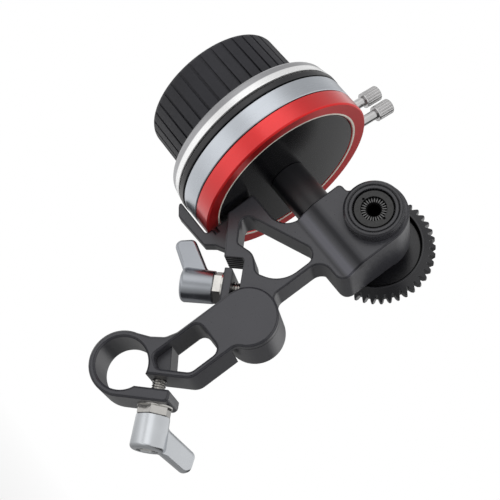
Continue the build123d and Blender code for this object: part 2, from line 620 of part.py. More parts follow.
with BuildPart() as port_ring:
    with BuildSketch(SPINDLE):
        band(PORT_RING_FRONT, PORT_FLANGE_FRONT, PORT_RING_INNER_R, PORT_RING_R)
        band(PORT_FLANGE_FRONT, BOX_FRONT, JOURNAL_R + 0.4, FLANGE_SEAT_R)
    revolve(axis=SPINDLE_AXIS)
port_ring.part.label = "port_ring"

with BuildPart() as spindle_front_bearing:
    with BuildSketch(SPINDLE):
        bearing_section(BOX_FRONT, BOX_FRONT + BEARING_WIDTH, JOURNAL_R + RUN, Y_BORE_R)
    revolve(axis=SPINDLE_AXIS)
spindle_front_bearing.part.label = "spindle_front_bearing"

with BuildPart() as spindle_rear_bearing:
    with BuildSketch(SPINDLE):
        rear_bearing_to = REAR_BEARING_FROM + BEARING_WIDTH
        bearing_section(REAR_BEARING_FROM, rear_bearing_to, NECK_R + RUN, Y_BORE_R)
    revolve(axis=SPINDLE_AXIS)
spindle_rear_bearing.part.label = "spindle_rear_bearing"

with BuildPart() as rear_cover:
    with BuildSketch(SPINDLE):
        band(BOX_BACK, COVER_BACK, NECK_R + 0.6, 9.5)
        band(rear_bearing_to, BOX_BACK, 5.0, Y_BORE_R - RUN)
    revolve(axis=SPINDLE_AXIS)
    chamfer(edges().group_by(Axis.Y)[-1].sort_by(SortBy.RADIUS)[-1], length=0.4)
    with BuildSketch(across_spindle(COVER_BACK)):
        with PolarLocations(COVER_SCREW_CIRCLE, 3):
            Circle(0.9)
    extrude(amount=BOX_BACK - COVER_BACK, mode=Mode.SUBTRACT)
rear_cover.part.label = "rear_cover"

with BuildPart() as rear_cover_screws:
    with BuildSketch(across_spindle(BOX_BACK - COVER_SCREW_DEPTH)):
        with PolarLocations(COVER_SCREW_CIRCLE, 3):
            Circle(0.8)
    extrude(amount=COVER_BACK - BOX_BACK + COVER_SCREW_DEPTH)
    with BuildSketch(across_spindle(COVER_BACK)):
        with PolarLocations(COVER_SCREW_CIRCLE, 3):
            Circle(1.5)
    extrude(amount=0.4)
    with BuildSketch(across_spindle(COVER_BACK + 0.4)):
        with PolarLocations(COVER_SCREW_CIRCLE, 3):
            Circle(1.5)
            RegularPolygon(radius=0.65, side_count=6, major_radius=False, mode=Mode.SUBTRACT)
    extrude(amount=0.6)
rear_cover_screws.part.label = "rear_cover_screws"


# ---- crossed helical gears -------------------------------------------------
HELICAL_WIDTH = 7.0
HELICAL_RINGS = [(4.15, 1.05), (HELICAL_PITCH_R, 0.7), (5.7, 0.35)]
HELICAL_HUB_R = 4.9
HELICAL_TWIST = degrees(HELICAL_WIDTH / HELICAL_PITCH_R)
DRIVER_FROM = GEAR_X - HELICAL_WIDTH / 2
DRIVEN_FROM = WHEEL_Y - HELICAL_WIDTH / 2
PIN_R = 0.75
DRIVER_PIN_X, DRIVEN_PIN_Y = 4.4, 6.7


def helical_blank(section_plane, first):
    """Right-handed helical teeth about a plane's normal, from the plane on."""
    with BuildSketch(section_plane) as section:
        toothed_outline(HELICAL_TEETH, HELICAL_RINGS, first)
    return Solid.extrude_linear_with_rotation(
        section.sketch.face(), section_plane.origin,
        section_plane.z_dir * HELICAL_WIDTH, HELICAL_TWIST,
    )


driver_blank = helical_blank(across_wheel(DRIVER_FROM), 90 - HELICAL_TWIST / 2)
with BuildPart() as helical_driver_gear:
    add(driver_blank)
    with BuildSketch(WHEEL):
        band(DRIVER_PIN_X - 1.4, DRIVER_FROM, 0, HELICAL_HUB_R)
    revolve(axis=WHEEL_AXIS)
    with BuildSketch(WHEEL):
        band(DRIVER_PIN_X - 2, DRIVER_FROM + 10, 0, SHAFT_R + RUN)
    revolve(axis=WHEEL_AXIS, mode=Mode.SUBTRACT)
    with BuildSketch(Plane(origin=(DRIVER_PIN_X, WHEEL_Y, WHEEL_Z), z_dir=(0, 0, 1))):
        Circle(PIN_R)
    extrude(amount=6, both=True, mode=Mode.SUBTRACT)
helical_driver_gear.part.label = "helical_driver_gear"

with BuildPart() as driver_gear_pin:
    with BuildSketch(Plane(origin=(DRIVER_PIN_X, WHEEL_Y, WHEEL_Z), z_dir=(0, 0, 1))):
        Circle(PIN_R)
    extrude(amount=HELICAL_HUB_R - 0.1, both=True)
driver_gear_pin.part.label = "driver_gear_pin"

half_space = 180 / HELICAL_TEETH
driven_blank = helical_blank(across_spindle(DRIVEN_FROM), 90 + half_space - HELICAL_TWIST / 2)
with BuildPart() as helical_driven_gear:
    add(driven_blank)
    with BuildSketch(SPINDLE):
        band(DRIVEN_FROM + HELICAL_WIDTH, DRIVEN_PIN_Y + 1.4, 0, HELICAL_HUB_R)
    revolve(axis=SPINDLE_AXIS)
    with BuildSketch(SPINDLE):
        band(DRIVEN_FROM - 1, DRIVEN_PIN_Y + 2, 0, NECK_R + RUN)
    revolve(axis=SPINDLE_AXIS, mode=Mode.SUBTRACT)
    with BuildSketch(Plane(origin=(GEAR_X, DRIVEN_PIN_Y, GEAR_Z), z_dir=(0, 0, 1))):
        Circle(PIN_R)
    extrude(amount=6, both=True, mode=Mode.SUBTRACT)
helical_driven_gear.part.label = "helical_driven_gear"

with BuildPart() as driven_gear_pin:
    with BuildSketch(Plane(origin=(GEAR_X, DRIVEN_PIN_Y, GEAR_Z), z_dir=(0, 0, 1))):
        Circle(PIN_R)
    extrude(amount=HELICAL_HUB_R - 0.1, both=True)
driven_gear_pin.part.label = "driven_gear_pin"


# ---- drive spindle ---------------------------------------------------------
SPINDLE_END = 22.0
RECESS_R, RECESS_DEPTH = 3.7, 1.3
SERRATIONS = 26
SERRATION_INNER_R = 2.2
END_SCREW_R = 1.5
NOTCH_ANGLE, NOTCH_CIRCLE, NOTCH_R = -6, 4.12, 0.38

with BuildPart() as drive_spindle:
    with BuildSketch(SPINDLE):
        band(HEAD_FRONT, PORT_FLANGE_FRONT - FACE_GAP, 0, HEAD_R)
        band(PORT_FLANGE_FRONT - FACE_GAP, BOX_FRONT + BEARING_WIDTH, 0, JOURNAL_R)
        band(BOX_FRONT + BEARING_WIDTH, SPINDLE_END, 0, NECK_R)
    revolve(axis=SPINDLE_AXIS)
    chamfer(edges().sort_by(Axis.Y)[0], length=0.3)
    with BuildSketch(SPINDLE):
        band(HEAD_FRONT, HEAD_FRONT + RECESS_DEPTH, 0, RECESS_R)
        band(HEAD_FRONT, HEAD_FRONT + 7, 0, 1.9)
        band(SPINDLE_END - 9, SPINDLE_END, 0, END_SCREW_R)
    revolve(axis=SPINDLE_AXIS, mode=Mode.SUBTRACT)
    with BuildSketch(across_spindle(HEAD_FRONT + RECESS_DEPTH)):
        with PolarLocations((RECESS_R + SERRATION_INNER_R) / 2, SERRATIONS):
            Rectangle(RECESS_R - SERRATION_INNER_R, 0.34)
    extrude(amount=-0.6)
    with BuildSketch(across_spindle(HEAD_FRONT)):
        with PolarLocations(NOTCH_CIRCLE, 2, start_angle=NOTCH_ANGLE):
            Circle(NOTCH_R)
    extrude(amount=1.0, mode=Mode.SUBTRACT)
    with BuildSketch(Plane(origin=(GEAR_X, DRIVEN_PIN_Y, GEAR_Z), z_dir=(0, 0, 1))):
        Circle(PIN_R)
    extrude(amount=6, both=True, mode=Mode.SUBTRACT)
drive_spindle.part.label = "drive_spindle"


# ---- drive gear ------------------------------------------------------------
DRIVE_PITCH_R = MODULE * DRIVE_TEETH / 2
DRIVE_TIP_R = DRIVE_PITCH_R + MODULE
DRIVE_RINGS = [
    (DRIVE_PITCH_R - 1.25 * MODULE, 0.95), (DRIVE_PITCH_R, pi * MODULE / 4),
    (DRIVE_TIP_R, 0.28),
]
RIM_FRONT, RIM_BACK = 16.84, 22.5
RIM_INNER_R, GEAR_HUB_R = 13.0, 5.5
WEB_FROM, WEB_TO = 18.9, 20.4

with BuildPart() as drive_gear:
    with BuildSketch(across_spindle(RIM_FRONT)):
        toothed_outline(DRIVE_TEETH, DRIVE_RINGS)
    extrude(amount=RIM_BACK - RIM_FRONT)
    with BuildSketch(SPINDLE):
        outline((RIM_FRONT, 13.7), (RIM_FRONT, 18), (20.4, 18))
        band(RIM_FRONT, WEB_FROM, 0, RIM_INNER_R)
        band(WEB_TO, RIM_BACK, 0, RIM_INNER_R)
        outline((RIM_BACK, 16.4), (RIM_BACK, 18), (RIM_BACK - 1.6, 18))
    revolve(axis=SPINDLE_AXIS, mode=Mode.SUBTRACT)
    with BuildSketch(SPINDLE):
        band(COVER_BACK + 0.5, SPINDLE_END + 0.2, 0, GEAR_HUB_R)
    revolve(axis=SPINDLE_AXIS)
    with BuildSketch(SPINDLE):
        band(COVER_BACK, RIM_BACK, 0, NECK_R + RUN)
    revolve(axis=SPINDLE_AXIS, mode=Mode.SUBTRACT)
drive_gear.part.label = "drive_gear"

with BuildPart() as gear_washer:
    with BuildSketch(SPINDLE):
        band(SPINDLE_END + 0.2, SPINDLE_END + 1.2, END_SCREW_R + 0.1, 4.8)
    revolve(axis=SPINDLE_AXIS)
gear_washer.part.label = "gear_washer"

with BuildPart() as gear_screw:
    with BuildSketch(SPINDLE):
        band(SPINDLE_END - 8.5, SPINDLE_END + 1.2, 0, END_SCREW_R)
        band(SPINDLE_END + 1.2, SPINDLE_END + 3.0, 0, 2.75)
    revolve(axis=SPINDLE_AXIS)
    chamfer(edges().sort_by(Axis.Y)[-1], length=0.3)
    with BuildSketch(across_spindle(SPINDLE_END + 3.0)):
        RegularPolygon(radius=1.0, side_count=6, major_radius=False)
    extrude(amount=-1.2, mode=Mode.SUBTRACT)
gear_screw.part.label = "gear_screw"


# ---- hand wheel ------------------------------------------------------------
SHAFT_FROM, SHAFT_TO = -50.0, 17.3
DISC_R, DISC_BACK = 24.0, -20.3
DRUM_R, DRUM_INNER_R = 22.5, 19.6
DRUM_END = -31.15
BOSS_R = 7.0
FLANGE_R, FLANGE_FROM = 29.1, -33.7
FLANGE_LIP, FLANGE_LIP_R = 0.75, 28.1
MARKING_FROM, MARKING_R = -38.6, 28.0
CORE_R, CORE_INNER_R, CORE_END = 20.5, 18.0, -56.6
CORE_BASE = -39.1
KNOB_END = -57.8
KNOB_BASE_R, KNOB_TOP_R = 22.8, 22.45
RING_R = 28.95
RIBS, GROOVE_ANGLE = 37, 192.5
HUB_SCREW_X = -27.0
FRICTION_XS = (-24.1, -30.2)
FRICTION_RING_R = 0.35        # of its cord
FLANGE_SCREW_CIRCLE, KNOB_SCREW_CIRCLE = 20.9, 16.5

with BuildPart() as wheel_shaft:
    with BuildSketch(WHEEL):
        band(SHAFT_FROM, SHAFT_TO, 0, SHAFT_R)
    revolve(axis=WHEEL_AXIS)
    with BuildSketch(WHEEL):
        band(SHAFT_FROM, SHAFT_FROM + 8, 0, END_SCREW_R)
    revolve(axis=WHEEL_AXIS, mode=Mode.SUBTRACT)
    with BuildSketch(Plane(origin=(DRIVER_PIN_X, WHEEL_Y, WHEEL_Z), z_dir=(0, 0, 1))):
        Circle(PIN_R)
    extrude(amount=6, both=True, mode=Mode.SUBTRACT)
wheel_shaft.part.label = "wheel_shaft"

with BuildPart() as wheel_hub:
    with BuildSketch(WHEEL):
        band(DISC_BACK, DISC_FACE, SHAFT_R + RUN, DISC_R)
        band(DISC_BACK - 1.7, DISC_BACK, SHAFT_R + RUN, DRUM_R)
        band(DRUM_END, DISC_BACK, DRUM_INNER_R, DRUM_R)
        band(DRUM_END + 0.5, DISC_BACK, SHAFT_R + RUN, BOSS_R)
        for friction_x in FRICTION_XS:
            with Locations((friction_x, DRUM_R)):
                Rectangle(0.8, 4 * FRICTION_RING_R, mode=Mode.SUBTRACT)
    revolve(axis=WHEEL_AXIS)
    chamfer(faces().sort_by(Axis.X)[-1].edges().sort_by(SortBy.RADIUS)[-1], length=0.25)
    with BuildSketch(across_wheel(DRUM_END)):
        with PolarLocations(FLANGE_SCREW_CIRCLE, 4, start_angle=45):
            Circle(0.7)
    extrude(amount=4.0, mode=Mode.SUBTRACT)
    with BuildSketch(Plane(origin=(HUB_SCREW_X, WHEEL_Y, WHEEL_Z), z_dir=(0, 0, 1))):
        Circle(1.5)
    extrude(amount=BOSS_R + 1, mode=Mode.SUBTRACT)
wheel_hub.part.label = "wheel_hub"

with BuildPart() as hub_set_screw:
    with BuildSketch(Plane(origin=(HUB_SCREW_X, WHEEL_Y, WHEEL_Z + SHAFT_R), z_dir=(0, 0, 1))):
        Circle(1.5)
    extrude(amount=2.2)
    with BuildSketch(
        Plane(origin=(HUB_SCREW_X, WHEEL_Y, WHEEL_Z + SHAFT_R + 2.2), z_dir=(0, 0, 1))
    ):
        Circle(1.5)
        RegularPolygon(radius=0.75, side_count=6, major_radius=False, mode=Mode.SUBTRACT)
    extrude(amount=1.3)
hub_set_screw.part.label = "hub_set_screw"

with BuildPart() as friction_rings:
    with BuildSketch(WHEEL):
        for friction_x in FRICTION_XS:
            with Locations((friction_x, DRUM_R - FRICTION_RING_R)):
                Circle(FRICTION_RING_R)
    revolve(axis=WHEEL_AXIS)
friction_rings.part.label = "friction_rings"

with BuildPart() as hub_flange:
    with BuildSketch(WHEEL):
        outline(
            (FLANGE_FROM, BOSS_R + 1), (FLANGE_FROM, FLANGE_LIP_R),
            (FLANGE_FROM + FLANGE_LIP, FLANGE_LIP_R), (FLANGE_FROM + FLANGE_LIP, FLANGE_R),
            (DRUM_END, FLANGE_R), (DRUM_END, BOSS_R + 1),
            radius=[0, 0, 0.2, 0.25, 0.25, 0],
        )
    revolve(axis=WHEEL_AXIS)
    with BuildSketch(across_wheel(FLANGE_FROM)):
        with PolarLocations(FLANGE_SCREW_CIRCLE, 4, start_angle=45):
            Circle(0.8)
        with PolarLocations(KNOB_SCREW_CIRCLE, 3):
            Circle(1.1)
    extrude(amount=DRUM_END - FLANGE_FROM, mode=Mode.SUBTRACT)
    with BuildSketch(across_wheel(FLANGE_FROM)):
        with PolarLocations(FLANGE_SCREW_CIRCLE, 4, start_angle=45):
            Circle(1.55)
    extrude(amount=1.2, mode=Mode.SUBTRACT)
hub_flange.part.label = "hub_flange"

with BuildPart() as flange_screws:
    with BuildSketch(across_wheel(FLANGE_FROM + 0.1)):
        with PolarLocations(FLANGE_SCREW_CIRCLE, 4, start_angle=45):
            Circle(1.45)
    extrude(amount=1.1)
    with BuildSketch(across_wheel(FLANGE_FROM + 1.2)):
        with PolarLocations(FLANGE_SCREW_CIRCLE, 4, start_angle=45):
            Circle(0.7)
    extrude(amount=5.2)
flange_screws.part.label = "flange_screws"

with BuildPart() as marking_ring:
    with BuildSketch(WHEEL):
        outline(
            (MARKING_FROM, CORE_R + RUN), (MARKING_FROM, MARKING_R), (FLANGE_FROM, RING_R),
            (FLANGE_FROM, CORE_R + RUN),
            radius=[0, 1.6, 0.25, 0],
        )
    revolve(axis=WHEEL_AXIS)
marking_ring.part.label = "marking_ring"

with BuildPart() as knob_core:
    with BuildSketch(WHEEL):
        band(CORE_END, FLANGE_FROM, CORE_INNER_R, CORE_R)
        band(CORE_BASE, FLANGE_FROM, 14.0, CORE_R)
        band(CORE_END, CORE_END + 2.6, 0, CORE_R)
        band(CORE_END, -40.0, 0, 6.5)
    revolve(axis=WHEEL_AXIS)
    with BuildSketch(WHEEL):
        band(SHAFT_FROM, -40.0, 0, SHAFT_R + RUN)
        band(CORE_END, SHAFT_FROM, 0, END_SCREW_R + 0.1)
        band(CORE_END, CORE_END + 2.2, 0, 3.0)
    revolve(axis=WHEEL_AXIS, mode=Mode.SUBTRACT)
    with BuildSketch(across_wheel(FLANGE_FROM)):
        with PolarLocations(KNOB_SCREW_CIRCLE, 3):
            Circle(1.0)
    extrude(amount=CORE_BASE - FLANGE_FROM, mode=Mode.SUBTRACT)
knob_core.part.label = "knob_core"

with BuildPart() as knob_screws:
    with BuildSketch(across_wheel(CORE_BASE + 0.4)):
        with PolarLocations(KNOB_SCREW_CIRCLE, 3):
            Circle(1.0)
    extrude(amount=DRUM_END - CORE_BASE - 0.4)
    with BuildSketch(across_wheel(DRUM_END)):
        with PolarLocations(KNOB_SCREW_CIRCLE, 3):
            Circle(1.9)
    extrude(amount=0.8)
    with BuildSketch(across_wheel(DRUM_END + 0.8)):
        with PolarLocations(KNOB_SCREW_CIRCLE, 3):
            Circle(1.9)
            RegularPolygon(radius=0.75, side_count=6, major_radius=False, mode=Mode.SUBTRACT)
    extrude(amount=1.0)
knob_screws.part.label = "knob_screws"

with BuildPart() as knob_centre_screw:
    with BuildSketch(WHEEL):
        band(CORE_END + 0.4, CORE_END + 2.2, 0, 2.75)
        band(CORE_END + 2.2, SHAFT_FROM + 7.5, 0, END_SCREW_R)
    revolve(axis=WHEEL_AXIS)
    with BuildSketch(across_wheel(CORE_END + 0.4)):
        RegularPolygon(radius=1.0, side_count=6, major_radius=False)
    extrude(amount=1.2, mode=Mode.SUBTRACT)
knob_centre_screw.part.label = "knob_centre_screw"

with BuildPart() as knob_grip:
    with BuildSketch(WHEEL):
        outline(
            (MARKING_FROM, CORE_R + RUN), (MARKING_FROM, KNOB_BASE_R), (KNOB_END, KNOB_TOP_R),
            (KNOB_END, 17.8), (CORE_END, 17.8), (CORE_END, CORE_R + RUN),
            radius=[0, 0, 2.0, 0.4, 0, 0],
        )
    revolve(axis=WHEEL_AXIS)
    with BuildSketch(across_wheel(KNOB_END)):
        with PolarLocations(KNOB_BASE_R + 0.1, RIBS, start_angle=GROOVE_ANGLE):
            Rectangle(1.5, 0.75)
    extrude(amount=MARKING_FROM - KNOB_END, mode=Mode.SUBTRACT)
knob_grip.part.label = "knob_grip"

with BuildPart() as knob_end_cap:
    with BuildSketch(WHEEL):
        band(KNOB_END + 0.35, CORE_END, 0, 17.75)
        with Locations((KNOB_END + 0.35, 14.6)):
            Rectangle(0.6, 0.8, mode=Mode.SUBTRACT)
    revolve(axis=WHEEL_AXIS)
knob_end_cap.part.label = "knob_end_cap"


# ---- stop rings and their thumb screws -------------------------------------
STOP_BORE_R = DRUM_R + FACE_GAP
RED_FROM, RED_TO, RED_R = -24.8, -19.15, 28.9
GREY_FROM, GREY_TO = -30.8, -25.05
STOP_LEAN = 12                # degrees from straight up, towards +Y
STOP_RED_X, STOP_GREY_X = -22.0, -27.9
STOP_SCREW_R = 1.5
STOP_HEAD_FROM, STOP_HEAD_TO, STOP_HEAD_R = 35.3, 41.0, 2.4
STOP_HEAD_BASE = 0.55         # plain part below the knurl
KNURL_GROOVES, KNURL_R = 18, 0.3
STOP_DIRECTION = Vector(0, sin(radians(STOP_LEAN)), cos(radians(STOP_LEAN)))


def stop_hole(station):
    """Cut a stop ring's radial hole at a station."""
    place = Plane(Vector(station, WHEEL_Y, WHEEL_Z), z_dir=STOP_DIRECTION)
    with BuildSketch(place) as hole:
        Circle(STOP_SCREW_R + RUN)
    extrude(hole.sketch, amount=RING_R + 1, mode=Mode.SUBTRACT)


with BuildPart() as stop_ring_gear_side:
    with BuildSketch(WHEEL):
        outline(
            (RED_FROM, STOP_BORE_R), (RED_FROM, RED_R - 0.2), (RED_FROM + 0.2, RED_R),
            (RED_TO - 0.45, RED_R), (RED_TO, RED_R - 0.45), (RED_TO - 0.15, 24.5),
            (RED_TO - 0.55, 24.1), (DISC_BACK - FACE_GAP, 24.1),
            (DISC_BACK - FACE_GAP, STOP_BORE_R),
        )
    revolve(axis=WHEEL_AXIS)
    stop_hole(STOP_RED_X)
stop_ring_gear_side.part.label = "stop_ring_gear_side"

with BuildPart() as stop_ring_knob_side:
    with BuildSketch(WHEEL):
        outline(
            (GREY_FROM, STOP_BORE_R), (GREY_FROM, RING_R - 0.2), (GREY_FROM + 0.2, RING_R),
            (GREY_TO - 0.2, RING_R), (GREY_TO, RING_R - 0.2), (GREY_TO, STOP_BORE_R),
        )
    revolve(axis=WHEEL_AXIS)
    stop_hole(STOP_GREY_X)
stop_ring_knob_side.part.label = "stop_ring_knob_side"


def stop_screw(station):
    """Thumb screw with a straight knurl, set radially in a stop ring."""
    centre = Vector(station, WHEEL_Y, WHEEL_Z)
    place = Plane(centre, x_dir=STOP_DIRECTION, z_dir=(1, 0, 0))
    with BuildPart() as screw:
        with BuildSketch(place):
            band(DRUM_R + 0.15, STOP_HEAD_FROM, 0, STOP_SCREW_R)
            band(STOP_HEAD_FROM, STOP_HEAD_TO, 0, STOP_HEAD_R)
        revolve(axis=Axis(centre, STOP_DIRECTION))
        rims = edges().filter_by(GeomType.CIRCLE).sort_by(Axis(centre, STOP_DIRECTION))
        chamfer(rims[-1], length=0.3)
        with BuildSketch(
            Plane(centre + STOP_DIRECTION * (STOP_HEAD_FROM + STOP_HEAD_BASE), z_dir=STOP_DIRECTION)
        ):
            with PolarLocations(STOP_HEAD_R + 0.12, KNURL_GROOVES):
                Circle(KNURL_R)
        extrude(amount=STOP_HEAD_TO - STOP_HEAD_FROM, mode=Mode.SUBTRACT)
    return screw


stop_screw_gear_side = stop_screw(STOP_RED_X)
stop_screw_gear_side.part.label = "stop_screw_gear_side"
stop_screw_knob_side = stop_screw(STOP_GREY_X)
stop_screw_knob_side.part.label = "stop_screw_knob_side"


# ---- export ----------------------------------------------------------------
for piece in (
    rod_clamp_arm, pivot_retaining_washer, pivot_retaining_screw,
    rod_lever_washer, rod_clamp_screw, rod_lever_cap_screw, rod_lever_spring, rod_lever,
    pivot_lever_washer, pivot_clamp_screw, pivot_lever_cap_screw, pivot_lever_spring,
    pivot_lever, body_frame, stop_pointer, pointer_screw, pointer_dowel,
    shaft_tube, tube_set_screw, tube_bearing, end_bearing,
    port_bezel, port_ring, spindle_front_bearing, spindle_rear_bearing,
    rear_cover, rear_cover_screws,
    helical_driver_gear, driver_gear_pin, helical_driven_gear, driven_gear_pin,
    drive_spindle, drive_gear, gear_washer, gear_screw,
    wheel_shaft, wheel_hub, hub_set_screw, friction_rings, hub_flange, flange_screws,
    marking_ring, knob_core, knob_screws, knob_centre_screw, knob_grip, knob_end_cap,
    stop_ring_gear_side, stop_ring_knob_side, stop_screw_gear_side, stop_screw_knob_side,
):
    export_step(piece.part, f"parts/{piece.part.label}.step")
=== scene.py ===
import json

import bpy
from mathutils import Matrix, Vector

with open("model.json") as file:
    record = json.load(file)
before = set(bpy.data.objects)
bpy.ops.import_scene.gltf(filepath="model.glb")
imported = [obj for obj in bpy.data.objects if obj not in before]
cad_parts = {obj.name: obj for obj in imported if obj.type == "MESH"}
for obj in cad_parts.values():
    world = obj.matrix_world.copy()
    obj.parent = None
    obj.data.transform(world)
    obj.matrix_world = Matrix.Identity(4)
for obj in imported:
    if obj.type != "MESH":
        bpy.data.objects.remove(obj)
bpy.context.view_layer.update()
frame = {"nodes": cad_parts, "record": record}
scene = bpy.context.scene
nodes = frame["nodes"]

# Places on the part where a colour or a finish begins and ends, in metres. A band of four numbers
# starts at the first, is full from the second to the third and ends at the fourth.
WHEEL_AXIS = (0.0, 0.00194, 0.0707)   # a point on it; it runs along X
SPINDLE_AXIS = (0.00933, 0.0, 0.08088)   # a point on it; it runs along Y
ALONG_X, ALONG_Y = 0, 1   # place in a vector

# The gear box's step is a plain slope: painted shade in its hollow and along its lower line, and a
# painted highlight on its crown.
BOX_HOLLOW_SHADE = (0.0668, 0.0682, 0.0688, 0.0711)   # bands up the gear box's front
BOX_CROWN_HIGHLIGHT = (0.0636, 0.0645, 0.0658, 0.0668)
BOX_LINE_SHADE = (0.0621, 0.0626, 0.0629, 0.0635)
BOX_FRONT_Y = -0.0045   # the front is nearer the camera than this
BOX_SIDE_X = -0.0040   # and the box begins here, beside the web

CREAM_RADII = (0.02435, 0.02500)   # cut edge on the red ring's face
CREAM_X = -0.01945
RED_FACE_X = (-0.0196, -0.0194)   # from the rim's full clear coat to the face's thin one
MARKING_SHADE_X = (-0.0360, -0.0357)   # from a painted shade on the knob's side to the polished edge

GEAR_CORNER_SHADE = (0.0124, 0.0127, 0.0132, 0.0134)   # radii of a painted shade, inside the drive gear's rim
SOCKET_RADIUS = 0.00368
SOCKET_SHADE_Y = (-0.00985, -0.0096)   # painted shade, black from here inwards
SOCKET_END_Y = -0.003   # to here
SOCKET_TEETH = (0.0022, 0.0026, 0.00345, 0.0036)   # radii
SOCKET_TIPS_Y = -0.0102   # the lighter tooth tips lie inwards of this


# ---- shader building -------------------------------------------------------
class Shader:
    """A material's node tree, with a principled shader to build towards."""

    def __init__(self, name):
        self.material = bpy.data.materials.new(name)
        self.material.use_nodes = True
        self.tree = self.material.node_tree
        self.bsdf = self.tree.nodes["Principled BSDF"]
        self.place = self.add("ShaderNodeTexCoord").outputs["Object"]

    def add(self, kind, settings=None, **inputs):
        """A node with its settings, and its inputs by name or number set or linked."""
        node = self.tree.nodes.new(kind)
        for key, value in (settings or {}).items():
            setattr(node, key, value)
        for key, value in inputs.items():
            socket = node.inputs[int(key[1:]) if key[1:].isdigit() else key.replace("_", " ")]
            self.feed(socket, value)
        return node

    def feed(self, socket, value):
        if isinstance(value, bpy.types.NodeSocket):
            self.tree.links.new(value, socket)
        else:
            socket.default_value = value

    def maths(self, operation, first, second):
        return self.add("ShaderNodeMath", {"operation": operation}, i0=first, i1=second).outputs[0]

    def times(self, first, second):
        return self.maths("MULTIPLY", first, second)

    def larger(self, first, second):
        return self.maths("MAXIMUM", first, second)

    def over(self, value, limit):
        """1 where a value is over its limit, otherwise 0."""
        return self.maths("GREATER_THAN", value, limit)

    def under(self, value, limit):
        return self.maths("LESS_THAN", value, limit)

    def vector(self, operation, first, second=(0, 0, 0)):
        node = self.add("ShaderNodeVectorMath", {"operation": operation}, i0=first, i1=second)
        return node.outputs["Value" if operation in ("DOT_PRODUCT", "LENGTH") else "Vector"]

    def noise(self, scale, detail=2.0, stretch=None):
        place = self.vector("MULTIPLY", self.place, stretch) if stretch else self.place
        return self.add("ShaderNodeTexNoise", Vector=place, Scale=scale, Detail=detail).outputs[0]

    def lines(self, station):
        """Noise along one number, such as a radius: fine lines of a cut."""
        settings = {"noise_dimensions": "1D"}
        return self.add(
            "ShaderNodeTexNoise", settings, W=station, Scale=9000, Detail=3.0
        ).outputs[0]

    def spread(self, value, low, high, out_low, out_high):
        """Straight from out_low at low to out_high at high, and level beyond them."""
        node = self.add(
            "ShaderNodeMapRange", Value=value, From_Min=low, From_Max=high, To_Min=out_low,
            To_Max=out_high,
        )
        return node.outputs[0]

    def vary(self, noise, low, high):
        """From low to high over the usual range of a noise."""
        return self.spread(noise, 0.3, 0.7, low, high)

    def band(self, value, start, full, until, end):
        """0 outside start and end, 1 between full and until, a ramp between them."""
        rise = self.spread(value, start, full, 0.0, 1.0)
        return self.times(rise, self.spread(value, until, end, 1.0, 0.0))

    def either(self, factor, first, second):
        """A number between two others."""
        settings = {"data_type": "FLOAT"}
        return self.add("ShaderNodeMix", settings, i0=factor, i2=first, i3=second).outputs[0]

    def mix(self, factor, first, second):
        """A colour between two others."""
        settings = {"data_type": "RGBA"}
        return self.add("ShaderNodeMix", settings, i0=factor, i6=first, i7=second).outputs[2]

    def mottle(self, noise, colour, low, high):
        """A colour made darker and lighter by a noise."""
        return self.mix(self.vary(noise, 0, 1), tinted(colour, low), tinted(colour, high))

    def across(self, centre, along):
        """The way out from an axis along X or Y through centre, as a vector."""
        offset = self.vector("SUBTRACT", self.place, centre)
        return self.vector("MULTIPLY", offset, (0, 1, 1) if along == ALONG_X else (1, 0, 1))

    def polar(self, centre, along):
        """Radius from an axis along X or Y through centre, and the place along it."""
        radius = self.vector("LENGTH", self.across(centre, along))
        return radius, self.add("ShaderNodeSeparateXYZ", Vector=self.place).outputs[along]

    def bevel(self, radius):
        return self.add("ShaderNodeBevel", {"samples": 4}, Radius=radius).outputs[0]

    def edges(self, radius, low=0.90, high=0.985):
        """1 on edges, from how far a bevelled normal departs from the true one."""
        normal = self.add("ShaderNodeNewGeometry").outputs["Normal"]
        agree = self.vector("DOT_PRODUCT", self.bevel(radius), normal)
        return self.spread(agree, low, high, 1.0, 0.0)

    def bump(self, height, distance, strength, **base):
        """Relief from a height, on the true normal or on the one that is given."""
        self.set(Normal=self.add(
            "ShaderNodeBump", Height=height, Distance=distance, Strength=strength, **base
        ).outputs[0])

    def set(self, **values):
        for key, value in values.items():
            self.feed(self.bsdf.inputs[key.replace("_", " ")], value)

    def turned_tangent(self):
        """Brushing that runs round the wheel's axis."""
        around = self.vector("CROSS_PRODUCT", (1, 0, 0), self.across(WHEEL_AXIS, ALONG_X))
        turned = self.add(
            "ShaderNodeVectorTransform",
            {"vector_type": "VECTOR", "convert_from": "OBJECT", "convert_to": "WORLD"},
            Vector=around,
        ).outputs[0]
        self.set(Tangent=turned, Anisotropic=0.3)


def shade(value):
    return (value, value, value, 1.0)


def tinted(colour, by):
    return (colour[0] * by, colour[1] * by, colour[2] * by, 1.0)


def painted_box_step(s):
    """Painted shade and highlight on the gear box's front, for a rounded step: how far it is
    painted dark, and how far a painted highlight lights its top.
    """
    x, y, z = s.add("ShaderNodeSeparateXYZ", Vector=s.place).outputs
    front = s.times(s.under(y, BOX_FRONT_Y), s.over(x, BOX_SIDE_X))
    hollow_shade = s.times(s.band(z, *BOX_HOLLOW_SHADE), 0.6)
    line_shade = s.times(s.band(z, *BOX_LINE_SHADE), 0.65)
    return s.times(s.larger(hollow_shade, line_shade), front), s.times(s.band(z, *BOX_CROWN_HIGHLIGHT), front)


